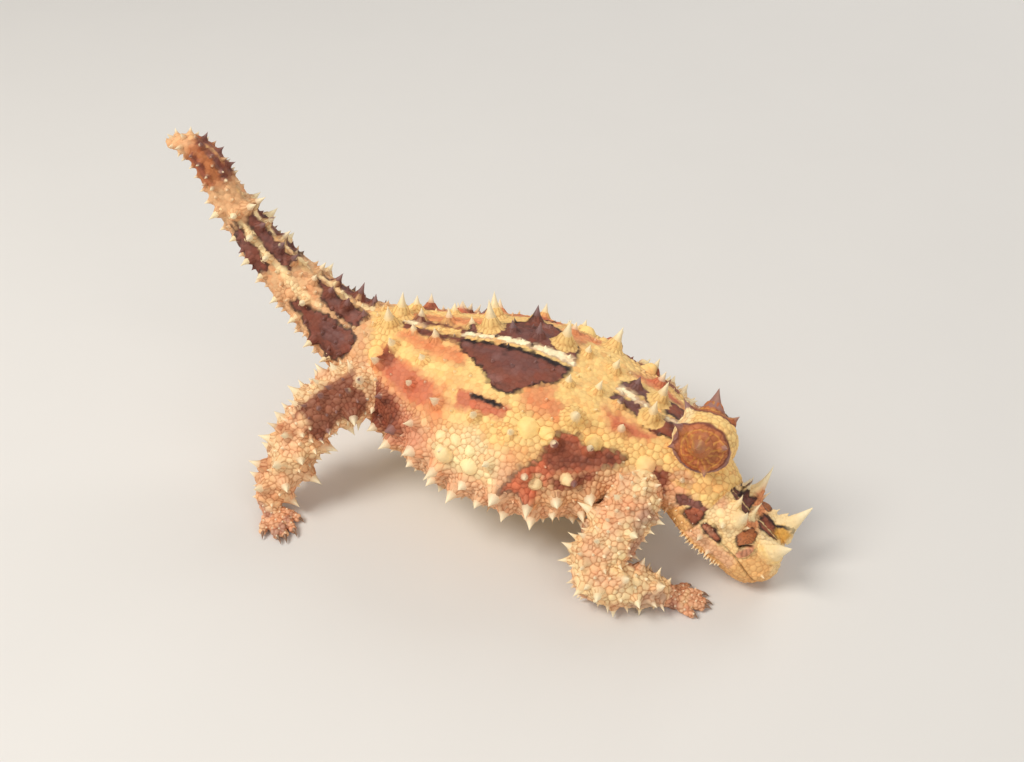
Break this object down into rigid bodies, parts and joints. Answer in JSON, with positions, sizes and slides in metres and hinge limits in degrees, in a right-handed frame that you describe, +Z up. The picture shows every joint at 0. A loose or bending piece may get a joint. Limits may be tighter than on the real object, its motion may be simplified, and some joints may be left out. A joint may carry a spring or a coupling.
{
  "type": "thorny devil model",
  "caption": "Life-size thorny devil lizard standing with head bowed and tail raised, conical spines over back, flanks, tail and limbs, knob on the nape and horns on the brow",
  "frame": {"origin": "on the floor, under the centre of the model's box", "axes": "+X towards the head, +Y to the animal's left, +Z up; the nose to tail length along X is the longest extent"},
  "size_m": [0.1268, 0.0702, 0.0641],
  "materials": {
    "skin_cream": "dry scaly skin",
    "skin_brown": "dry scaly skin",
    "horn": "horny scale, satin",
    "eye": "moist, dark"
  },
  "bodies": {
    "root": {"trunk": "skin_cream", "neck": "skin_cream", "nuchal_knob": "skin_brown", "head": "skin_cream", "right_eye": "eye", "left_eye": "eye", "right_horn": "horn", "left_horn": "horn", "tail_base": "skin_cream", "tail_middle": "skin_cream", "tail_tip": "skin_cream", "right_upper_arm": "skin_cream", "right_forearm": "skin_cream", "right_hand": "skin_cream", "left_upper_arm": "skin_cream", "left_forearm": "skin_cream", "left_hand": "skin_cream", "right_thigh": "skin_cream", "right_shin": "skin_cream", "right_foot": "skin_cream", "left_thigh": "skin_cream", "left_shin": "skin_cream", "left_foot": "skin_cream"}
  },
  "joints": []
}
